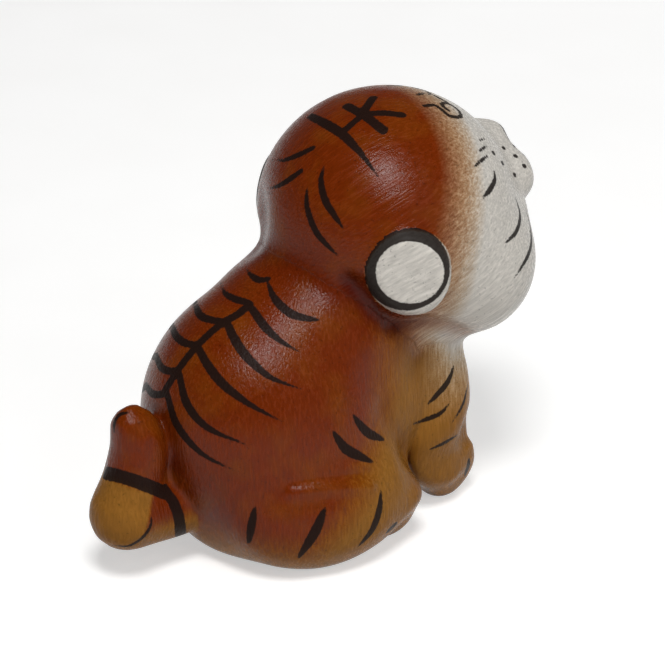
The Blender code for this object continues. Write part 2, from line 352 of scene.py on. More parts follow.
def faced(surface, stops):
    """A line given as the animal's front view, across and up in mm, laid on the clay from the front."""
    hits = [surface.ray_cast(Vector((x * MM, IN_FRONT, z * MM)), Vector((0, 1, 0)))[0]
            for x, z in curve(stops, FACE_STEP)]
    return np.array([hit for hit in hits if hit is not None])


def other_side(surface, path, axis=0.0):
    """The same line on the other side of the animal, about a middle line axis mm off centre."""
    turned = path * np.array((-1.0, 1.0, 1.0)) + np.array((2 * axis * MM, 0, 0))
    return np.array([surface.find_nearest(point)[0] for point in turned])


LINE_SKIP = 3                   # every third point of a line is close enough to measure from


def gap_to(line, co):
    """Each point's distance from a line."""
    return np.linalg.norm(co[:, None] - line[None, ::LINE_SKIP], axis=2).min(axis=1)


def fading(gap, width):
    """How much of a touch is left at a distance from it, for a width in mm."""
    return np.exp(-(gap / (width * MM)) ** 2)


# Creases pressed with a tool: depth and width in mm, then pixels; a negative depth raises a soft ridge
CREASES = (
    (0.5, 1.8, (382, 408), (394, 428), (402, 446), (408, 464), (412, 478), (423, 492)),
    (1.2, 3.4, (412, 430), (420, 452), (422, 474), (416, 489)),
    (-0.6, 1.4, (296, 492), (318, 489), (345, 487), (372, 486)),
    (0.35, 1.0, (292, 485), (318, 481), (345, 478), (376, 474)),
    (1.3, 2.2, (350, 286), (362, 302), (378, 317), (396, 327)),
    (0.6, 2.0, (396, 327), (420, 321), (444, 325), (468, 334)),
)
# The back of the head is trimmed under the left ear only
LEFT_NAPE = (1.4, 5.0, (258, 212), (258, 224), (256, 238))
# Clay moved, in mm: the muzzle goes up and back and each cheek fills out under it
MUZZLE, MUZZLE_REACH, MUZZLE_MOVE = np.array((0.0, -44.5, 63.5)), 10.0, np.array((0.0, 0.6, 1.2))
CHEEK, CHEEK_REACH, CHEEK_FILL = np.array((11.5, -42.5, 57.5)), 4.0, 1.1
# The ears are squeezed narrower up to their joint, and the left one is pulled out
EAR_SQUEEZE, EAR_JOINT = 0.925, (0.3, 1.8)
LEFT_EAR_OUT = np.array((0.25, 0.35, -0.2))
# The forelegs fill out towards the knees, fading upwards and at the foot, and the paws stretch forward
ELBOW_WAY, ELBOW_FILL = np.array((0.70, 0.71, 0.0)), 5.0
ELBOW_TOP, ELBOW_FOOT = (15.0, 28.0), (2.0, 10.0)
PAW_FORWARD, PAW_JOINT = 1.1, (0.3, 3.0)
# The hollow between knee and foreleg is sponged once more: along this line on the photograph, at these
# depths behind what the camera sees and over this reach, both in mm
VALLEY = ((400, 362), (404, 384), (405, 408), (406, 430), (410, 447), (414, 464), (419, 480))
VALLEY_DEPTHS, VALLEY_REACH = (0.0, 3.0, 6.0), 5.0
# Lumps pushed with the thumb: from one pixel to another, mm towards the camera, and mm that move along
PUSHES = (
    ((423, 444), (405, 446), -2.0, 5.0),
    ((421, 464), (409, 462), -2.0, 4.0),
    ((435, 446), (417, 448), 2.5, 5.0),
    ((433, 466), (414, 468), 3.0, 4.5),
    ((427, 480), (413, 487), 2.5, 4.5),
    ((411, 498), (423, 494), 0.0, 4.5),
    ((412, 482), (416, 481), 0.0, 3.5),
    ((469, 431), (460, 432), 0.0, 4.2),
    ((466, 483), (459, 478), 0.0, 4.0),
    ((468, 458), (473, 453), 0.0, 3.5),
    ((404, 366), (404, 366), 2.2, 6.0),
    ((409, 398), (409, 398), 2.6, 6.0),
    ((410, 428), (410, 428), 1.6, 5.0),
)


def press_creases(co, way):
    """Presses the creases in on both sides, and trims the nape on the left."""
    surface = look_up()
    for crease in CREASES + (LEFT_NAPE,):
        depth, width, *stops = crease
        lines = [seen(surface, stops)]
        if crease is not LEFT_NAPE:
            lines.append(other_side(surface, lines[0]))
        for line in lines:
            co = co - way * (depth * MM * fading(gap_to(line, co), width))[:, None]
    return co


def move_by_hand(co, way):
    """Moves muzzle, cheeks, ears, forelegs and fore paws."""
    mm = co / MM
    sides = np.sign(mm[:, :1]) ** np.array((1, 0, 0))
    share = np.exp(-(np.linalg.norm(mm - MUZZLE, axis=1) / MUZZLE_REACH) ** 2)
    moved = mm + share[:, None] * MUZZLE_MOVE
    far = np.linalg.norm(mm * sides - CHEEK, axis=1)
    moved = moved + way * (CHEEK_FILL * np.exp(-(far / CHEEK_REACH) ** 2))[:, None]
    for name, mirror, pull in (('ear_right', 1.0, 0.0), ('ear_left', -1.0, 1.0)):
        share = 1.0 - smoothstep(*EAR_JOINT, near[name] / MM)
        low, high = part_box(name)
        across = np.array((RIGHT.x * mirror, RIGHT.y, 0.0))
        along = (mm - np.array((low + high) / 2) / MM) @ across
        moved = moved + (share * along * (EAR_SQUEEZE - 1.0))[:, None] * across
        moved = moved + share[:, None] * pull * LEFT_EAR_OUT
    wall = np.clip((way * sides) @ ELBOW_WAY, 0.0, 1.0) * (1.0 - smoothstep(*ELBOW_TOP, mm[:, 2]))
    wall = wall * smoothstep(*ELBOW_FOOT, mm[:, 2]) * piece_mask('foreleg', 'fore_paw')
    moved = moved + (ELBOW_FILL * wall)[:, None] * ELBOW_WAY * sides
    paws = np.minimum(near['fore_paw_left'], near['fore_paw_right']) / MM
    moved[:, 1] -= PAW_FORWARD * (1.0 - smoothstep(*PAW_JOINT, paws))
    return moved * MM


def push_lumps(co):
    """Pushes some clay about, alike on both sides."""
    for start, end, out, reach in PUSHES:
        at = np.array(look_up().ray_cast(EYE, sight(start))[0])
        across, down = end[0] - start[0], end[1] - start[1]
        move = np.array((RIGHT * across - UP * down) * MM_PER_PIXEL + BACK * out) * MM
        for turn in ((1.0, 1.0, 1.0), (-1.0, 1.0, 1.0)):
            share = fading(np.linalg.norm(co - at * turn, axis=1), reach)
            co = co + share[:, None] * (move * turn)
        co = put_back(co)
    return co


def smooth_valley():
    """Sponges the clay between each knee and foreleg once more."""
    path = seen(look_up(), VALLEY)
    co = points(skin.data)
    gap = np.full(len(co), np.inf)
    for turn in (1.0, -1.0):
        for depth in VALLEY_DEPTHS:
            line = (path - np.array(BACK) * depth * MM) * np.array((turn, 1.0, 1.0))
            gap = np.minimum(gap, gap_to(line, co))
    rub(skin, fading(gap, VALLEY_REACH), PASSES[WIDE])
    return points(skin.data)


def put_back(co):
    """Gives the skin its new points, none of them under the floor."""
    co[:, 2] = np.maximum(co[:, 2], 0.0)
    skin.data.vertices.foreach_set('co', co.ravel())
    skin.data.update()
    return co


co = put_back(press_creases(co, normals(skin.data)))
co = put_back(move_by_hand(co, normals(skin.data)))
co = push_lumps(co)
co = put_back(smooth_valley())
way = normals(skin.data)
surface = look_up()

# Sprayed colours, as two numbers at each point: ochre over red-brown, and white slip over both
HEAD_MIDDLE = np.array((0.0, -21.0, 56.6))
FACE_WAY = np.array((0.0, -0.927, 0.375))
CROWN_WAY = np.array((0.0, 0.375, 0.927))
# Where the red of the head ends: mm towards the face, for mm above the head's middle
FACE_EDGE = ((-24.0, -17.0), (-17.0, -13.0), (-11.0, -9.0), (-2.0, -4.0), (8.0, 3.9), (14.0, 10.2),
             (24.0, 20.0))
FACE_SPRAY = 7.0                # half the width of the spray's soft edge
# Where the red of the back ends: Y for Z, in mm
BACK_EDGE = ((0.0, 17.0), (7.0, 13.0), (10.0, 9.5), (15.0, 3.5), (20.5, 0.0), (25.0, -4.0), (27.5, -5.6),
             (30.5, -7.3), (35.5, -8.4), (40.0, -9.0), (46.0, -10.0), (60.0, -11.0))
BACK_SPRAY = 5.6
HEM = (2.0, 13.0)               # ochre up to the first height, all red above the second
# The white of the throat runs down on the chest: from no white to all white, by depth and by height
BIB_DEPTH, BIB_HEIGHT = (17.0, 25.5), (20.0, 34.5)
THROAT = 2.5                    # half the width over which the head's colours pass into the trunk's
# The tail's root is red down to a soft edge, its round end ochre, its tip red.  Tip and root end at
# slanting lines: Y and Z of a place on the line, its slope, and half the width of its soft edge
ROOT_EDGE = (9.5, 13.5)
TIP_LINE = (39.4, 20.9, 0.45, 1.2)
ROOT_LINE = (35.0, 14.7, 0.43, 0.4)
EAR_SLIP = 0.0005               # the ear's white starts this far from its joint
EYE_AT, EYE_SIZE = (4.4, 72.7), (1.5, 1.35)     # the ochre iris in the front view, in mm
# Painted shade: darker colour where shade falls, in the creases under the ear, along the jaw, between knee
# and foreleg and at the tail's root: strength and width in mm, then pixels
PAINTED_SHADE_LINES = (
    (1.0, 2.6, (350, 284), (360, 297), (372, 311), (386, 322), (398, 327)),
    (0.75, 2.3, (398, 326), (420, 321), (444, 324), (466, 333)),
    (0.35, 2.2, (384, 412), (396, 432), (404, 450), (411, 474), (422, 490)),
    (0.7, 2.2, (162, 420), (171, 440), (177, 470)),
)
# Painted shade along the joint of head and trunk, where the head shades the nape: strength, and width in mm
NECK_PAINTED_SHADE, NECK_WIDTH = 0.45, 4.0


def ramp_up(middle, half, value):
    """A straight rise from 0 to 1, half a width to each side of a middle."""
    return np.clip(0.5 + (value - middle) / (2 * half), 0.0, 1.0)


def clip_ramp(span, value):
    """A straight rise from 0 to 1 over a span."""
    return np.clip((value - span[0]) / (span[1] - span[0]), 0.0, 1.0)


def spray():
    """How much ochre and how much white slip was sprayed on each point."""
    mm = co / MM
    rel = mm - HEAD_MIDDLE
    face = ramp_up(np.interp(rel @ CROWN_WAY, *zip(*FACE_EDGE)), FACE_SPRAY, rel @ FACE_WAY)
    front = ramp_up(mm[:, 1], BACK_SPRAY, np.interp(mm[:, 2], *zip(*BACK_EDGE)))
    ochre = np.maximum(front, 1.0 - smoothstep(*HEM, mm[:, 2]))
    bib = clip_ramp(BIB_DEPTH, -mm[:, 1]) * clip_ramp(BIB_HEIGHT, mm[:, 2])
    on_tail = piece_mask('tail')
    y, z, slope, soft = TIP_LINE
    tip = smoothstep(-soft, soft, mm[:, 2] - z - slope * (mm[:, 1] - y))
    y, z, slope, soft = ROOT_LINE
    is_root = 1.0 - smoothstep(-soft, soft, mm[:, 1] - y - slope * (z - mm[:, 2]))
    tail = (1.0 - tip) + (1.0 - smoothstep(*ROOT_EDGE, mm[:, 2]) - (1.0 - tip)) * is_root
    ochre = np.where(on_tail, tail, ochre)
    body = np.minimum.reduce([near[name] for name in ('trunk', 'foreleg_left', 'foreleg_right')])
    is_head = ramp_up(0.0, THROAT, (body - near['head']) / MM)
    below = piece_mask('trunk', 'foreleg', 'fore_paw', 'hind_paw') & (near['head'] >= WIDE)
    is_head = np.where(below | on_tail, 0.0, np.where(piece_mask('ear'), 1.0, is_head))
    slip = bib + (face - bib) * is_head
    ochre = ochre * (1.0 - is_head)
    slip = np.where(piece_mask('nose', 'chin', 'whisker_pad'), 1.0, slip)
    for side in ('left', 'right'):
        inside = smoothstep(0.0, EAR_SLIP, near['head'] - near['ear_' + side])
        slip = np.where(near['ear_' + side] < WIDE, slip + (1.0 - slip) * inside, slip)
    iris = np.hypot((np.abs(mm[:, 0]) - EYE_AT[0]) / EYE_SIZE[0], (mm[:, 2] - EYE_AT[1]) / EYE_SIZE[1])
    in_eye = (iris < 1.0) & (mm[:, 1] < HEAD_MIDDLE[1])
    return np.where(in_eye, 1.0, ochre), np.where(in_eye, 0.0, slip)


def painted_crease_shade():
    """How much painted shade darkens each point: in the creases and along the joint of head and trunk."""
    joint = np.maximum(near['head'], near['trunk'])
    dark = NECK_PAINTED_SHADE * fading(joint, NECK_WIDTH) * (1.0 - slip)
    for strength, width, *stops in PAINTED_SHADE_LINES:
        path = seen(surface, stops)
        for line in (path, other_side(surface, path)):
            dark = np.maximum(dark, strength * fading(gap_to(line, co), width))
    return np.where(piece_mask('ear'), 0.0, dark)


# Brushed strokes, as the distance from each point to the nearest edge of a stroke, less inside it
INK_REACH = 1.5 * MM
ink = np.full(len(co), INK_REACH)
TAPER = {
    'leaf': lambda t: 0.18 + 0.82 * np.sin(np.pi * t) ** 0.7,
    'tail': lambda t: (0.10 + 0.90 * (1.0 - t ** 2.6)
                       * (0.76 + 0.24 * np.sin(np.pi * np.minimum(1.4 * t, 1.0)))),
    'bar': lambda t: np.ones_like(t),
}


def brush(path, width, taper, where):
    """Paints one stroke, its width in pixels of the photograph."""
    half = width * MM_PER_PIXEL * MM / 2 * TAPER[taper](np.linspace(0.0, 1.0, len(path)))
    low, high = path.min(0) - 2 * INK_REACH, path.max(0) + 2 * INK_REACH
    index = np.nonzero(where & np.all((co > low) & (co < high), axis=1))[0]
    gap = (np.linalg.norm(co[index, None] - path[None], axis=2) - half).min(axis=1)
    ink[index] = np.minimum(ink[index], gap)


CROWN_MARK = (
    (11.0, 'tail', (310, 116), (326, 124), (342, 134), (356, 148), (366, 160), (379, 178)),
    (8.0, 'bar', (344, 131), (354, 122), (365, 113)),
    (10.5, 'bar', (347, 106), (365, 116), (383, 130)),
    (9.5, 'bar', (373, 98), (366, 108), (362, 116)),
    (9.0, 'bar', (365, 114), (384, 113), (402, 115)),
)
BROW_EDGE = (
    (6.0, 'leaf', (416, 95), (421, 94), (428, 91)),
    (6.0, 'leaf', (432, 94), (441, 99), (449, 103)),
)
BROW = (5.6, 'bar', (425, 106), (434, 105), (441, 109), (448, 115), (455, 117), (461, 116), (459, 111),
        (453, 106), (446, 103), (442, 104), (444, 107), (448, 110))
HEAD_RIGHT = (
    (4.0, 'leaf', (486, 138), (478, 141)),
    (4.4, 'leaf', (488, 145), (478, 152)),
    (4.4, 'leaf', (490, 154), (482, 160), (473, 168)),
    (6.5, 'leaf', (494, 170), (495, 179), (491, 188), (482, 199)),
    (6.0, 'leaf', (515, 196), (520, 215), (516, 232), (503, 245)),
    (6.0, 'leaf', (525, 206), (531, 232), (529, 253), (514, 279)),
)
TEMPLE_RIGHT = (
    (8.0, 'leaf', (324, 166), (321, 181), (326, 202), (343, 228)),
    (7.5, 'leaf', (307, 187), (307, 207), (315, 230), (326, 244), (338, 256)),
)
TEMPLE_LEFT = (
    (7.5, 'tail', (313, 148), (298, 155), (284, 160), (274, 159)),
    (7.5, 'tail', (301, 171), (287, 181), (275, 187), (263, 188)),
)
# How far off centre the crown's mark with the temple stripes, and the brow's curls, sit, in mm
CROWN_MIDDLE, BROW_MIDDLE = -3.8, -1.5
WHISKER_DOTS = ((503, 148), (493, 153), (515, 156), (514, 146), (524, 155), (502, 163), (524, 166),
                (514, 175))
DOT = 5.0                       # width of a whisker dot, in pixels
NAPE = (
    (8.0, 'tail', (268, 279), (259, 280), (250, 274), (245, 265)),
    (9.0, 'leaf', (267, 281), (275, 299), (290, 313), (305, 318), (319, 320)),
)
SPINE = (9.5, 'bar', (249, 305), (238, 314), (224, 322), (209, 334), (197, 346), (186, 359), (178, 370),
         (165, 390))
RIBS_RIGHT = (
    (9.5, 'tail', (250, 306), (266, 328), (282, 342), (300, 352)),
    (10.0, 'tail', (227, 323), (234, 338), (247, 357), (270, 377), (301, 389)),
    (10.0, 'tail', (198, 348), (209, 367), (224, 385), (249, 404), (281, 421)),
    (10.0, 'tail', (179, 374), (187, 404), (208, 428), (247, 445)),
    (10.0, 'tail', (167, 394), (177, 425), (201, 453), (235, 471)),
)
RIBS_LEFT = (
    (9.0, 'tail', (249, 303), (235, 299), (225, 293), (221, 284)),
    (9.0, 'tail', (225, 321), (211, 320), (200, 315), (195, 304)),
    (9.0, 'tail', (196, 345), (185, 343), (176, 336), (172, 326)),
    (9.0, 'tail', (178, 370), (169, 371), (161, 367), (156, 356)),
    (9.0, 'tail', (165, 394), (153, 394), (146, 386)),
)
FLANK = (
    (10.0, 'leaf', (353, 415), (361, 426), (370, 434), (385, 440)),
    (10.5, 'leaf', (333, 431), (340, 442), (349, 451), (373, 462)),
    (9.0, 'leaf', (255, 507), (251, 528), (248, 545)),
    (11.0, 'leaf', (325, 508), (315, 532), (298, 559)),
    (9.5, 'leaf', (381, 491), (379, 511), (372, 530), (358, 547)),
    (7.5, 'leaf', (454, 365), (450, 377), (444, 387), (427, 405)),
    (5.5, 'leaf', (450, 403), (442, 412), (435, 416), (410, 425)),
    (5.0, 'leaf', (468, 383), (463, 404), (452, 423)),
    (5.0, 'leaf', (460, 433), (446, 442), (429, 450)),
    (8.5, 'leaf', (469, 458), (468, 466), (465, 476)),
    (10.0, 'leaf', (397, 523), (386, 533)),
    (5.0, 'leaf', (461, 346), (469, 355)),
)
TAIL_RINGS = (
    (13.5, 'bar', (106, 473), (126, 478), (146, 485), (165, 493)),
    (12.5, 'bar', (165, 490), (174, 504), (179, 519), (181, 537)),
    (5.0, 'leaf', (152, 513), (150, 527), (142, 538), (128, 546), (112, 545)),
    (6.0, 'leaf', (114, 434), (114.5, 422), (120, 414.5), (129, 412.5)),
)
# The hidden front, drawn as the animal is seen from the front: an ordinary tiger's face
EYE_RIM = ((-6.1, 72.6), (-5.3, 74.0), (-4.0, 74.2), (-2.8, 73.1), (-3.2, 71.6), (-4.8, 71.3), (-6.1, 72.6))
FACE_RIGHT = (
    (3.6, 'bar') + EYE_RIM,
    (8.0, 'bar', (-4.4, 72.8), (-4.3, 72.6)),
    (5.0, 'leaf', (0.0, 58.2), (-2.4, 56.9), (-5.2, 57.2), (-8.0, 59.0)),
    (6.0, 'leaf', (-12.0, 53.5), (-14.4, 50.8), (-15.0, 47.4)),
)
FACE_MIDDLE = (
    (5.0, 'bar', (0.0, 63.6), (0.0, 58.2)),
    (5.0, 'leaf', (-3.0, 79.2), (0.0, 78.6), (3.0, 79.2)),
)
FORELEG_FRONT = (
    (6.0, 'leaf', (-11.2, 21.4), (-9.2, 20.4), (-6.8, 20.8)),
    (6.0, 'leaf', (-10.2, 15.6), (-8.4, 14.6), (-6.4, 15.0)),
    (4.5, 'leaf', (-9.2, 6.6), (-9.3, 2.4)),
    (4.5, 'leaf', (-5.8, 6.8), (-5.8, 2.4)),
)


def continued(path, guide):
    """Runs a line on past its last point in the way that a guide line goes from there."""
    start = np.argmin(np.linalg.norm(guide - path[-1], axis=1))
    rest = guide[start + 1:]
    if len(rest) < 2:
        return path
    more = rest + (path[-1] - guide[start])
    return np.vstack((path, [surface.find_nearest(point)[0] for point in more]))


def brush_pair(right_one, left_one, where, axis=None):
    """Paints a stroke and its fellow, which goes on where the camera doesn't see it."""
    path = seen(surface, right_one[2:])
    brush(path, right_one[0], right_one[1], where)
    guide = other_side(surface, path, path[0][0] / MM if axis is None else axis)
    brush(continued(seen(surface, left_one[2:]), guide), left_one[0], left_one[1], where)


def stripe():
    """All the brush strokes: how each group is laid on, where it may go, and whether both sides have it."""
    on_head = piece_mask('head', 'nose', 'whisker_pad', 'chin')
    on_trunk = piece_mask('trunk', 'foreleg', 'fore_paw', 'hind_paw')
    on_tail = piece_mask('tail', 'trunk')
    dots = tuple((DOT, 'bar', (x, y), (x + 1, y)) for x, y in WHISKER_DOTS)
    for lay, strokes, where, both in (
            (seen, CROWN_MARK + BROW_EDGE, on_head, False),
            (seen, HEAD_RIGHT + dots, on_head, True),
            (seen, NAPE + (SPINE,), on_trunk, False),
            (seen, FLANK, on_trunk, True),
            (seen, TAIL_RINGS, on_tail, False),
            (faced, FACE_RIGHT, on_head, True),
            (faced, FACE_MIDDLE, on_head, False),
            (faced, FORELEG_FRONT, on_trunk, True)):
        for width, taper, *stops in strokes:
            path = lay(surface, stops)
            if len(path) == 0:
                continue
            brush(path, width, taper, where)
            if both:
                brush(other_side(surface, path), width, taper, where)
    width, taper, *stops = BROW
    brow = seen(surface, stops)
    brush(brow, width, taper, on_head)
    brush(other_side(surface, brow, BROW_MIDDLE), width, taper, on_head)
    for right_one, left_one in zip(TEMPLE_RIGHT, TEMPLE_LEFT):
        brush_pair(right_one, left_one, on_head, CROWN_MIDDLE)
    for right_one, left_one in zip(RIBS_RIGHT, RIBS_LEFT):
        brush_pair(right_one, left_one, on_trunk)


# The ear's ring on the photograph: middle, half width and half height of its two edges
RING_OUTSIDE = ((406.0, 268.0), 44.0, 42.6)
RING_INSIDE = ((410.0, 272.5), 34.2, 31.0)
EAR_BACK = np.array((-0.83, 0.56, 0.05))
RIM_TURN = -0.75                # the ring goes over the rim as far as it faces this much away
RING_LAP = 0.0006               # and laps this far on to the head
NOSE_PAINT = 0.0028             # depth of the black on the nose


def ring_gap(seen_at, ellipse):
    """Distance outside an ellipse on the photograph, less inside it."""
    (x, y), wide, high = ellipse
    far = np.hypot((seen_at[:, 0] - x) / wide, (seen_at[:, 1] - y) / high)
    return (far - 1.0) * min(wide, high) * MM_PER_PIXEL * MM


def ring_ears():
    """Paints each ear's ring and takes it over the rim."""
    higher = np.array(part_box('ear_left')[0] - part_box('ear_right')[0]) * np.array((0.0, 1.0, 1.0))
    moved = higher + LEFT_EAR_OUT * MM
    for name, flip, offset in (('ear_right', 1.0, np.zeros(3)), ('ear_left', -1.0, moved)):
        index = np.nonzero(near[name] < RING_LAP)[0]
        turn = np.array((flip, 1.0, 1.0))
        out = (way[index] * turn) @ EAR_BACK
        at = pixels((co[index] - offset) * turn)
        gap = np.maximum(ring_gap(at, RING_OUTSIDE), -ring_gap(at, RING_INSIDE))
        ink[index] = np.where(out > RIM_TURN, np.clip(gap, -INK_REACH, INK_REACH), ink[index])


def black_nose():
    """The nose's front is painted black."""
    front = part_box('nose')[0].y
    index = np.nonzero(owner == names.index('nose'))[0]
    ink[index] = np.minimum(ink[index], co[index, 1] - (front + NOSE_PAINT))


ochre, slip = spray()
# Painted shade: the colour is darkened in the creases and along the neck's joint
painted_shade = painted_crease_shade()
stripe()
ring_ears()
black_nose()
ink = np.clip(ink, -INK_REACH, INK_REACH) / MM

# The way each piece was rubbed down: fine lines run along it
ALONG, ALONG_BODY = 0.07, 0.13  # how much narrower than long the rubbed lines are, as a share
RUB_TILT = math.radians(32.0)   # on the head and the ears the lines climb to the right
mm = co / MM
rub_line = np.array(RIGHT * math.cos(RUB_TILT) + UP * math.sin(RUB_TILT))
tilted = mm - (1.0 - ALONG) * (mm @ rub_line)[:, None] * rub_line
on_head = piece_mask('head', 'nose', 'whisker_pad', 'chin', 'ear')
grain = np.where(on_head[:, None], tilted, mm * np.array((1.0, 1.0, ALONG_BODY)))


def linear(code):
    """An sRGB hex colour as linear red, green, blue and full cover."""
    parts = [int(code[i:i + 2], 16) / 255 for i in (1, 3, 5)]
    return tuple(p / 12.92 if p <= 0.04045 else ((p + 0.055) / 1.055) ** 2.4 for p in parts) + (1.0,)


def node(tree, name, inputs=None, **settings):
    """Adds a node: inputs are values or the sockets to link, settings are its own properties."""
    made = tree.nodes.new('ShaderNode' + name)
    for key, value in settings.items():
        setattr(made, key, value)
    for socket, value in (inputs or {}).items():
        if isinstance(value, bpy.types.NodeSocket):
            tree.links.new(value, made.inputs[socket])
        else:
            made.inputs[socket].default_value = value
    return made


def new_material(name):
    """A material with its node tree and its one shader."""
    made = bpy.data.materials.new(name)
    made.use_nodes = True
    tree = made.node_tree
    tree.nodes.clear()
    shader = node(tree, 'BsdfPrincipled')
    node(tree, 'OutputMaterial', {'Surface': shader.outputs['BSDF']})
    return made, tree, shader


def per_metre(mm):
    """A texture's scale for features of a size in mm."""
    return 1.0 / (mm * MM)


SPATTER = 2.4                   # how far the droplets stray over a soft edge


def speckled(tree, amount, spatter):
    """A sprayed amount, broken up into droplets where it is neither none nor all."""
    rest = node(tree, 'Math', {0: 1.0, 1: amount}, operation='SUBTRACT').outputs[0]
    edge = node(tree, 'Math', {0: amount, 1: rest}, operation='MULTIPLY').outputs[0]
    shift = node(tree, 'Math', {0: edge, 1: SPATTER}, operation='MULTIPLY').outputs[0]
    return node(tree, 'Math', {0: spatter, 1: shift, 2: amount}, operation='MULTIPLY_ADD',
                use_clamp=True).outputs[0]


def ramp_colours(tree, amount, stops):
    """Colours along an amount, given as places from 0 to 1 and hex colours."""
    made = node(tree, 'ValToRGB', {'Fac': amount})
    elements = made.color_ramp.elements
    for at, code in stops[1:-1]:
        elements.new(at).color = linear(code)
    elements[0].color = linear(stops[0][1])
    elements[-1].color = linear(stops[-1][1])
    return made.outputs['Color']


def sprayed_clay():
    """Fired clay, rubbed down, sprayed in red-brown, ochre and white slip and striped with a brush.

    To the eye: satin, with fine rubbed lines, a speckled edge where one colour was sprayed over
    another, painted shade darkening the creases, and black-brown strokes whose edges waver with the hairs of
    the brush.
    """
    made, tree, shader = new_material('sprayed_burnished_clay')
    place = node(tree, 'TexCoord').outputs['Object']
    ochre = node(tree, 'Attribute', attribute_name='ochre').outputs['Fac']
    slip = node(tree, 'Attribute', attribute_name='slip').outputs['Fac']
    # How much painted shade darkens each point
    painted_shade = node(tree, 'Attribute', attribute_name='painted_shade').outputs['Fac']
    ink_gap = node(tree, 'Attribute', attribute_name='ink').outputs['Fac']
    rubbed = node(tree, 'Attribute', attribute_name='grain').outputs['Vector']
    # Rubbed lines are about 0.15 mm apart; drawn at 0.45 mm so that they show
    lines = node(tree, 'TexNoise', {'Vector': rubbed, 'Scale': 1 / 0.45, 'Detail': 3.0}).outputs['Fac']
    # Sprayed droplets of about 0.3 mm
    drops = node(tree, 'TexNoise', {'Vector': place, 'Scale': per_metre(0.30), 'Detail': 2.0}).outputs['Fac']
    clouds = node(tree, 'TexNoise', {'Vector': place, 'Scale': per_metre(7.0), 'Detail': 3.0}).outputs['Fac']
    spatter = node(tree, 'Math', {0: drops, 1: lines}, operation='ADD').outputs[0]
    spatter = node(tree, 'Math', {0: spatter, 1: 1.0}, operation='SUBTRACT').outputs[0]
    # Thin places in the red let the ochre underneath warm it
    thin = node(tree, 'MapRange', {'Value': clouds, 'From Min': 0.45, 'From Max': 0.75, 'To Min': 0.0,
                                   'To Max': 0.22}).outputs['Result']
    cover = node(tree, 'Math', {0: speckled(tree, ochre, spatter), 1: thin}, operation='MAXIMUM').outputs[0]
    ground = ramp_colours(tree, cover, ((0.0, '#6c2603'), (0.5, '#7f450d'), (1.0, '#8d5e25')))
    white = speckled(tree, slip, spatter)
    # White slip looks warm where it is thin
    slips = ramp_colours(tree, white, ((0.0, '#c09868'), (0.5, '#c5a983'), (0.75, '#c8b8a0'),
                                       (1.0, '#cbc6be')))
    sprayed = node(tree, 'Mix', {6: ground, 7: slips, 0: white}, data_type='RGBA').outputs[2]
    # Rubbed lines show more on the white than on the red
    contrast = node(tree, 'MapRange', {'Value': white, 'To Min': 0.70, 'To Max': 0.80}).outputs['Result']
    middle = node(tree, 'Math', {0: lines, 1: 0.5}, operation='SUBTRACT').outputs[0]
    shade = node(tree, 'Math', {0: middle, 1: contrast, 2: 1.0}, operation='MULTIPLY_ADD').outputs[0]
    # Dark specks of about 0.4 mm from the spray gun
    specks = node(tree, 'TexNoise', {'Vector': place, 'Scale': per_metre(0.55), 'Detail': 1.0}).outputs['Fac']
    speck = node(tree, 'MapRange', {'Value': specks, 'From Min': 0.66, 'From Max': 0.74, 'To Min': 1.0,
                                    'To Max': 0.66}).outputs['Result']
    shade = node(tree, 'Math', {0: shade, 1: speck}, operation='MULTIPLY').outputs[0]
    clay = node(tree, 'VectorMath', {0: sprayed, 'Scale': shade}, operation='SCALE').outputs[0]
    # Painted shade: darker and redder colour in the creases and along the neck's joint
    deep = node(tree, 'VectorMath', {0: clay, 1: (0.42, 0.19, 0.08)}, operation='MULTIPLY').outputs[0]
    clay = node(tree, 'Mix', {6: clay, 7: deep, 0: painted_shade}, data_type='RGBA').outputs[2]
    # The brush's hairs: a wavering edge 0.1 to 0.2 mm deep
    hairs = node(tree, 'TexNoise', {'Vector': place, 'Scale': per_metre(0.5), 'Detail': 3.0}).outputs['Fac']
    waver = node(tree, 'Math', {0: hairs, 1: 0.34, 2: ink_gap}, operation='MULTIPLY_ADD').outputs[0]
    painted = node(tree, 'MapRange', {'Value': waver, 'From Min': 0.06, 'From Max': 0.28, 'To Min': 0.96,
                                      'To Max': 0.0}, interpolation_type='SMOOTHSTEP').outputs['Result']
    colour = node(tree, 'Mix', {6: clay, 7: linear('#1d1512'), 0: painted}, data_type='RGBA').outputs[2]
    tree.links.new(colour, shader.inputs['Base Color'])
    rough = node(tree, 'MapRange', {'Value': lines, 'From Min': 0.3, 'From Max': 0.7, 'To Min': 0.14,
                                    'To Max': 0.34}).outputs['Result']
    dull = node(tree, 'Math', {0: painted, 1: 0.12, 2: rough}, operation='MULTIPLY_ADD').outputs[0]
    tree.links.new(dull, shader.inputs['Roughness'])
    # The ochre and the strokes dried matt, the red and the white were burnished
    dry = node(tree, 'Math', {0: cover, 1: painted}, operation='MAXIMUM').outputs[0]
    sheen = node(tree, 'MapRange', {'Value': dry, 'To Min': 0.15, 'To Max': 0.04}).outputs['Result']
    tree.links.new(sheen, shader.inputs['Specular IOR Level'])
    height = node(tree, 'Math', {0: drops, 1: 0.4, 2: lines}, operation='MULTIPLY_ADD').outputs[0]
    bump = node(tree, 'Bump', {'Height': height, 'Strength': 0.7, 'Distance': 0.00017})
    tree.links.new(bump.outputs['Normal'], shader.inputs['Normal'])
    shader.inputs['IOR'].default_value = 1.5
    return made


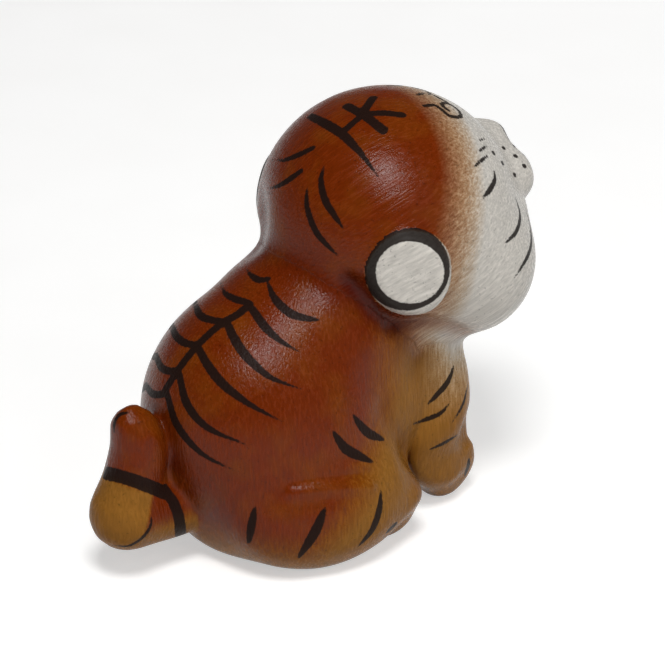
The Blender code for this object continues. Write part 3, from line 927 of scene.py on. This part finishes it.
def bare_clay():
    """The unpainted clay of the base plate, wiped flat: matt, warm brown, faintly gritty."""
    made, tree, shader = new_material('bare_fired_clay')
    place = node(tree, 'TexCoord').outputs['Object']
    # Grog grains of about 0.4 mm in clouds of about 5 mm
    grit = node(tree, 'TexNoise', {'Vector': place, 'Scale': per_metre(0.4), 'Detail': 3.0}).outputs['Fac']
    clouds = node(tree, 'TexNoise', {'Vector': place, 'Scale': per_metre(5.0), 'Detail': 2.0}).outputs['Fac']
    mixed = node(tree, 'Math', {0: grit, 1: 0.5, 2: clouds}, operation='MULTIPLY_ADD').outputs[0]
    ramp = node(tree, 'ValToRGB', {'Fac': mixed})
    ramp.color_ramp.elements[0].position = 0.45
    ramp.color_ramp.elements[0].color = linear('#7c5636')
    ramp.color_ramp.elements[1].position = 1.0
    ramp.color_ramp.elements[1].color = linear('#a5815c')
    tree.links.new(ramp.outputs['Color'], shader.inputs['Base Color'])
    bump = node(tree, 'Bump', {'Height': grit, 'Strength': 0.4, 'Distance': 0.0001})
    tree.links.new(bump.outputs['Normal'], shader.inputs['Normal'])
    shader.inputs['Roughness'].default_value = 0.75
    return made


def corners(mesh):
    """The skin's four-sided faces as point numbers."""
    loops = np.empty(len(mesh.loops), int)
    mesh.loops.foreach_get('vertex_index', loops)
    return loops.reshape(-1, 4)


def neighbours(faces):
    """Pairs of faces that share an edge."""
    sides = np.stack((faces, np.roll(faces, -1, axis=1)), axis=2).reshape(-1, 2)
    sides.sort(axis=1)
    keys = sides[:, 0] * (faces.max() + 1) + sides[:, 1]
    order = np.argsort(keys, kind='stable')
    same = keys[order][1:] == keys[order][:-1]
    face_of = order // 4
    return face_of[:-1][same], face_of[1:][same]


def islands(count, one, other, label):
    """Numbers the patches of joined faces that have the same label."""
    patch = np.arange(count)
    join = label[one] == label[other]
    one, other = one[join], other[join]
    while True:
        low = np.minimum(patch[one], patch[other])
        before = patch.copy()
        np.minimum.at(patch, one, low)
        np.minimum.at(patch, other, low)
        patch = patch[patch]
        if np.array_equal(before, patch):
            return patch


STRAY_PASSES = 4                # rounds in which stray scraps of skin go to the piece around them


def share_out(faces):
    """Which piece each face of the skin belongs to, with every piece's patch in one island."""
    reach = np.stack([near[name][faces].mean(axis=1) for name in names])
    label = np.argmin(reach, axis=0)
    one, other = neighbours(faces)
    for _ in range(STRAY_PASSES):
        patch = islands(len(faces), one, other, label)
        size = np.bincount(patch, minlength=len(faces))
        biggest = np.zeros(len(names), int)
        np.maximum.at(biggest, label, size[patch])
        stray = size[patch] < biggest[label]
        if not stray.any():
            break
        for a, b in ((one, other), (other, one)):
            take = stray[a] & ~stray[b]
            label[a[take]] = label[b[take]]
    return label


def close_rims(shape):
    """Closes each open rim with a fan to its middle, which lies inside the clay."""
    ahead = {}
    for edge in shape.edges:
        if edge.is_boundary:
            loop = edge.link_loops[0]
            ahead.setdefault(loop.link_loop_next.vert, []).append(loop.vert)
    hubs = 0
    while ahead:
        start = next(iter(ahead))
        rim = [start]
        while True:
            after = ahead[rim[-1]].pop()
            if not ahead[rim[-1]]:
                del ahead[rim[-1]]
            if after is start:
                break
            rim.append(after)
        hub = shape.verts.new(sum((v.co for v in rim), Vector()) / len(rim))
        hubs += 1
        for one, other in zip(rim, rim[1:] + rim[:1]):
            shape.faces.new((one, other, hub))
    return hubs


def lift_off(name, faces, label, material):
    """Cuts one piece's patch out of the skin and closes it where it meets its neighbours."""
    mine = faces[label == names.index(name)]
    used = np.unique(mine)
    renumber = np.full(len(co), -1)
    renumber[used] = np.arange(len(used))
    shape = bmesh.new()
    verts = [shape.verts.new(point) for point in co[used]]
    for face in renumber[mine]:
        shape.faces.new([verts[i] for i in face]).smooth = True
    hubs = close_rims(shape)
    source = np.concatenate((used, used[:1].repeat(hubs)))
    mesh = bpy.data.meshes.new(name)
    shape.to_mesh(mesh)
    shape.free()
    # Each point keeps its sprayed colours, the painted shade of the creases and the strokes' edges
    for key, values in (('ochre', ochre), ('slip', slip), ('painted_shade', painted_shade), ('ink', ink)):
        numbers = mesh.attributes.new(key, 'FLOAT', 'POINT')
        numbers.data.foreach_set('value', values[source].astype(np.float32))
    rubbed = mesh.attributes.new('grain', 'FLOAT_VECTOR', 'POINT')
    rubbed.data.foreach_set('vector', grain[source].astype(np.float32).ravel())
    corner = np.empty(len(mesh.loops), int)
    mesh.loops.foreach_get('vertex_index', corner)
    mesh.normals_split_custom_set(way[source][corner])
    mesh.materials.append(material)
    piece = link(mesh, name)
    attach(piece, 'root')
    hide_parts(*PIECES[name][0])


faces = corners(skin.data)
label = share_out(faces)
painted_clay = sprayed_clay()
for name in names:
    lift_off(name, faces, label, painted_clay)
old = skin.data
bpy.data.objects.remove(skin)
bpy.data.meshes.remove(old)

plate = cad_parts['base_plate']
plate.data.materials.clear()
plate.data.materials.append(bare_clay())


WALLS, CEILING = 0.16, 0.04     # a dim room with a darker ceiling
CEILING_EDGE = (0.12, 0.55)     # how far up the walls pass into it, 1 being straight overhead
BLEACH = 0.50                   # light that the paper adds of its own where it is seen
PAPER_HALF = 2.0
# Lamps: metres right of, above and towards the camera from the object's middle, size, watts, and
# whether the gloss shows the lamp
LAMPS = (
    ('overhead', 0.0, 0.42, 0.58, 0.20, 3.6, True),
    ('right', 0.45, 0.15, 0.55, 0.45, 1.2, False),
    ('front_fill', 0.25, 0.60, -0.55, 0.50, 1.8, False),
)


def studio():
    """A white sheet of paper under soft light: from above, from the right and a little from the front."""
    sheet = bpy.data.meshes.new('floor')
    half = PAPER_HALF
    rim = [(-half, -half, 0), (half, -half, 0), (half, half, 0), (-half, half, 0)]
    sheet.from_pydata(rim, [], [(0, 1, 2, 3)])
    paper, tree, shader = new_material('white_paper')
    place = node(tree, 'TexCoord').outputs['Object']
    # Paper's faint clouding, about 30 mm across
    clouds = node(tree, 'TexNoise', {'Vector': place, 'Scale': per_metre(30.0)}).outputs['Fac']
    ramp = node(tree, 'ValToRGB', {'Fac': clouds})
    ramp.color_ramp.elements[0].color = linear('#dbdad8')
    ramp.color_ramp.elements[1].color = linear('#e2e2e1')
    tree.links.new(ramp.outputs['Color'], shader.inputs['Base Color'])
    shader.inputs['Roughness'].default_value = 0.9
    shader.inputs['Specular IOR Level'].default_value = 0.0
    # Bleached to white where the camera, a reflection or clear glass would see it
    path = node(tree, 'LightPath')
    bleach = node(tree, 'Math', {0: path.outputs['Is Camera Ray'], 1: path.outputs['Is Glossy Ray']},
                  operation='MAXIMUM').outputs[0]
    bleach = node(tree, 'Math', {0: bleach, 1: path.outputs['Is Transmission Ray']},
                  operation='MAXIMUM').outputs[0]
    bleach = node(tree, 'Math', {0: bleach, 1: BLEACH}, operation='MULTIPLY').outputs[0]
    tree.links.new(bleach, shader.inputs['Emission Strength'])
    shader.inputs['Emission Color'].default_value = (1.0, 1.0, 1.0, 1.0)
    sheet.materials.append(paper)
    link(sheet, 'floor')
    world = bpy.data.worlds.new('studio')
    bpy.context.scene.world = world
    world.use_nodes = True
    tree = world.node_tree
    way_up = node(tree, 'SeparateXYZ', {0: node(tree, 'TexCoord').outputs['Generated']}).outputs['Z']
    level = node(tree, 'MapRange', {'Value': way_up, 'From Min': CEILING_EDGE[0], 'From Max': CEILING_EDGE[1],
                                    'To Min': WALLS, 'To Max': CEILING},
                 interpolation_type='SMOOTHSTEP').outputs['Result']
    tree.links.new(level, tree.nodes['Background'].inputs['Strength'])
    tree.nodes['Background'].inputs['Color'].default_value = (1.0, 1.0, 1.0, 1.0)
    for name, across, over, behind, size, power, in_gloss in LAMPS:
        lamp = bpy.data.lights.new(name, 'AREA')
        lamp.size = size
        lamp.energy = power
        made = bpy.data.objects.new(name, lamp)
        bpy.context.scene.collection.objects.link(made)
        made.visible_glossy = in_gloss
        made.location = CAMERA_TARGET + RIGHT * across + UP * over + BACK * behind
        made.rotation_euler = (made.location - CAMERA_TARGET).to_track_quat('Z', 'Y').to_euler()
    bpy.context.scene.view_settings.view_transform = 'Standard'


studio()
